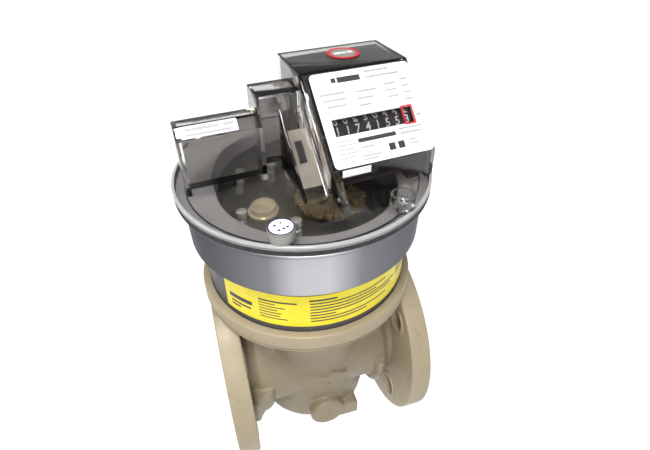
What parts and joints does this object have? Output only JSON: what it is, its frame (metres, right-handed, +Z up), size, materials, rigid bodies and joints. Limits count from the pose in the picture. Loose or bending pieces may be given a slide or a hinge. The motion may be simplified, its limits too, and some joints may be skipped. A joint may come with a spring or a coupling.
{
  "type": "turbine gas meter",
  "caption": "Flanged turbine gas meter: cream cast pot, dark neck with label, and a swivelling metal index head under a clear cover with a sloping number counter",
  "frame": {"origin": "under the vertical axis of the pot, neck and head, level with the lowest point of the two flange rims", "axes": "+X is the flow direction, out through the outlet flange; +Z is up along the turbine axis; +Y points to the back, away from the flow arrow"},
  "size_m": [0.1742, 0.1742, 0.3221],
  "materials": {
    "cast_body": "cast, cream paint with small chips",
    "clamp_ring": "cream paint",
    "body_seal": "black, matte",
    "neck_housing": "dark grey paint",
    "yellow_label": "printed film",
    "separating_cup": "bright, machined",
    "measuring_insert": "cast",
    "guide_ring": "cast",
    "upper_bearing": "bright, machined",
    "lower_bearing": "bright, machined",
    "swivel_seal": "black, matte",
    "turbine_wheel": "cast",
    "turbine_shaft": "bright, machined",
    "inner_magnet": "plated magnet",
    "head_housing": "turned and anodised",
    "cover_gasket": "black, matte",
    "clear_cover": "clear, slightly smoked",
    "index_plate": "white",
    "side_label": "white",
    "ring_sticker": "printed film",
    "unit_strip": "white",
    "side_plug": "grey, moulded",
    "cover_screw_1": "bright, machined",
    "cover_screw_2": "bright, machined",
    "cover_screw_3": "bright, machined",
    "cover_screw_4": "bright, machined",
    "seal_cup_1": "grey",
    "seal_cup_2": "clear",
    "seal_cup_3": "clear",
    "seal_cup_4": "clear",
    "seal_disc": "white",
    "gear_plate": "darkened",
    "gear_pillar_1": "bright, machined",
    "gear_pillar_2": "bright, machined",
    "gear_pillar_3": "bright, machined",
    "gear_pillar_4": "bright, machined",
    "calibration_boss": "machined",
    "rotor_bush": "machined",
    "counter_frame": "grey, moulded",
    "drum_axle": "bright, machined",
    "pulse_pickup": "black",
    "sensor_board": "grey, moulded",
    "reed_sensor": "black",
    "outer_magnet": "plated magnet",
    "rotor_shaft": "bright, machined",
    "rotor_pinion": "machined",
    "reduction_gear": "machined",
    "worm_arbor": "bright, machined",
    "lay_shaft": "bright, machined",
    "worm_wheel": "machined",
    "drive_pinion": "machined",
    "number_drum_1": "black with white numbers",
    "number_drum_2": "black with white numbers",
    "number_drum_3": "black with white numbers",
    "number_drum_4": "black with white numbers",
    "number_drum_5": "black with white numbers",
    "number_drum_6": "black with white numbers",
    "number_drum_7": "black with white numbers",
    "number_drum_8": "black with white numbers"
  },
  "bodies": {
    "meter_body": {"cast_body": "cast_body", "clamp_ring": "clamp_ring", "body_seal": "body_seal", "neck_housing": "neck_housing", "yellow_label": "yellow_label", "separating_cup": "separating_cup", "measuring_insert": "measuring_insert", "guide_ring": "guide_ring", "upper_bearing": "upper_bearing", "lower_bearing": "lower_bearing", "swivel_seal": "swivel_seal"},
    "turbine": {"turbine_wheel": "turbine_wheel", "turbine_shaft": "turbine_shaft", "inner_magnet": "inner_magnet"},
    "index_head": {"head_housing": "head_housing", "cover_gasket": "cover_gasket", "clear_cover": "clear_cover", "index_plate": "index_plate", "side_label": "side_label", "ring_sticker": "ring_sticker", "unit_strip": "unit_strip", "side_plug": "side_plug", "cover_screw_1": "cover_screw_1", "cover_screw_2": "cover_screw_2", "cover_screw_3": "cover_screw_3", "cover_screw_4": "cover_screw_4", "seal_cup_1": "seal_cup_1", "seal_cup_2": "seal_cup_2", "seal_cup_3": "seal_cup_3", "seal_cup_4": "seal_cup_4", "seal_disc": "seal_disc", "gear_plate": "gear_plate", "gear_pillar_1": "gear_pillar_1", "gear_pillar_2": "gear_pillar_2", "gear_pillar_3": "gear_pillar_3", "gear_pillar_4": "gear_pillar_4", "calibration_boss": "calibration_boss", "rotor_bush": "rotor_bush", "counter_frame": "counter_frame", "drum_axle": "drum_axle", "pulse_pickup": "pulse_pickup", "sensor_board": "sensor_board", "reed_sensor": "reed_sensor"},
    "magnet_rotor": {"outer_magnet": "outer_magnet", "rotor_shaft": "rotor_shaft", "rotor_pinion": "rotor_pinion"},
    "reduction_arbor": {"reduction_gear": "reduction_gear", "worm_arbor": "worm_arbor"},
    "lay_shaft_unit": {"lay_shaft": "lay_shaft", "worm_wheel": "worm_wheel", "drive_pinion": "drive_pinion"},
    "drum_1": {"number_drum_1": "number_drum_1"},
    "drum_2": {"number_drum_2": "number_drum_2"},
    "drum_3": {"number_drum_3": "number_drum_3"},
    "drum_4": {"number_drum_4": "number_drum_4"},
    "drum_5": {"number_drum_5": "number_drum_5"},
    "drum_6": {"number_drum_6": "number_drum_6"},
    "drum_7": {"number_drum_7": "number_drum_7"},
    "drum_8": {"number_drum_8": "number_drum_8"}
  },
  "joints": [
    {"name": "head_swivel", "type": "hinge", "parent": "meter_body", "child": "index_head", "pos_m": [0, 0, 0.2143], "axis": [0, 0, 1], "range_deg": [-170, 170]},
    {"name": "turbine_spin", "type": "hinge", "parent": "meter_body", "child": "turbine", "pos_m": [0, 0, 0.0825], "axis": [0, 0, 1], "continuous": true},
    {"name": "magnet_rotor_spin", "type": "hinge", "parent": "index_head", "child": "magnet_rotor", "pos_m": [0, 0, 0.2355], "axis": [0, 0, 1], "continuous": true},
    {"name": "reduction_spin", "type": "hinge", "parent": "index_head", "child": "reduction_arbor", "pos_m": [0.01157, -0.0255, 0.2443], "axis": [0, 0, 1], "continuous": true},
    {"name": "lay_shaft_spin", "type": "hinge", "parent": "index_head", "child": "lay_shaft_unit", "pos_m": [0.03915, -0.00983, 0.27181], "axis": [0.9952, 0.0976, 0], "continuous": true},
    {"name": "drum_1_spin", "type": "hinge", "parent": "index_head", "child": "drum_1", "pos_m": [0.01612, -0.0158, 0.2849], "axis": [0.9952, 0.0976, 0], "continuous": true},
    {"name": "drum_2_spin", "type": "hinge", "parent": "index_head", "child": "drum_2", "pos_m": [0.02289, -0.01514, 0.2849], "axis": [0.9952, 0.0976, 0], "continuous": true},
    {"name": "drum_3_spin", "type": "hinge", "parent": "index_head", "child": "drum_3", "pos_m": [0.02965, -0.01448, 0.2849], "axis": [0.9952, 0.0976, 0], "continuous": true},
    {"name": "drum_4_spin", "type": "hinge", "parent": "index_head", "child": "drum_4", "pos_m": [0.03642, -0.01381, 0.2849], "axis": [0.9952, 0.0976, 0], "continuous": true},
    {"name": "drum_5_spin", "type": "hinge", "parent": "index_head", "child": "drum_5", "pos_m": [0.04319, -0.01315, 0.2849], "axis": [0.9952, 0.0976, 0], "continuous": true},
    {"name": "drum_6_spin", "type": "hinge", "parent": "index_head", "child": "drum_6", "pos_m": [0.04996, -0.01248, 0.2849], "axis": [0.9952, 0.0976, 0], "continuous": true},
    {"name": "drum_7_spin", "type": "hinge", "parent": "index_head", "child": "drum_7", "pos_m": [0.05672, -0.01182, 0.2849], "axis": [0.9952, 0.0976, 0], "continuous": true},
    {"name": "drum_8_spin", "type": "hinge", "parent": "index_head", "child": "drum_8", "pos_m": [0.06349, -0.01116, 0.2849], "axis": [0.9952, 0.0976, 0], "continuous": true}
  ],
  "couplings": [
    {"joint": "magnet_rotor_spin", "follows": "turbine_spin", "ratio": 1},
    {"joint": "reduction_spin", "follows": "turbine_spin", "ratio": -0.25},
    {"joint": "lay_shaft_spin", "follows": "turbine_spin", "ratio": -0.010417},
    {"joint": "drum_8_spin", "follows": "turbine_spin", "ratio": 0.0072917},
    {"joint": "drum_7_spin", "follows": "turbine_spin", "ratio": 0.00072917},
    {"joint": "drum_6_spin", "follows": "turbine_spin", "ratio": 0.000072917},
    {"joint": "drum_5_spin", "follows": "turbine_spin", "ratio": 0.0000072917},
    {"joint": "drum_4_spin", "follows": "turbine_spin", "ratio": 0.00000072917},
    {"joint": "drum_3_spin", "follows": "turbine_spin", "ratio": 0.000000072917},
    {"joint": "drum_2_spin", "follows": "turbine_spin", "ratio": 0.0000000072917},
    {"joint": "drum_1_spin", "follows": "turbine_spin", "ratio": 0.00000000072917}
  ]
}
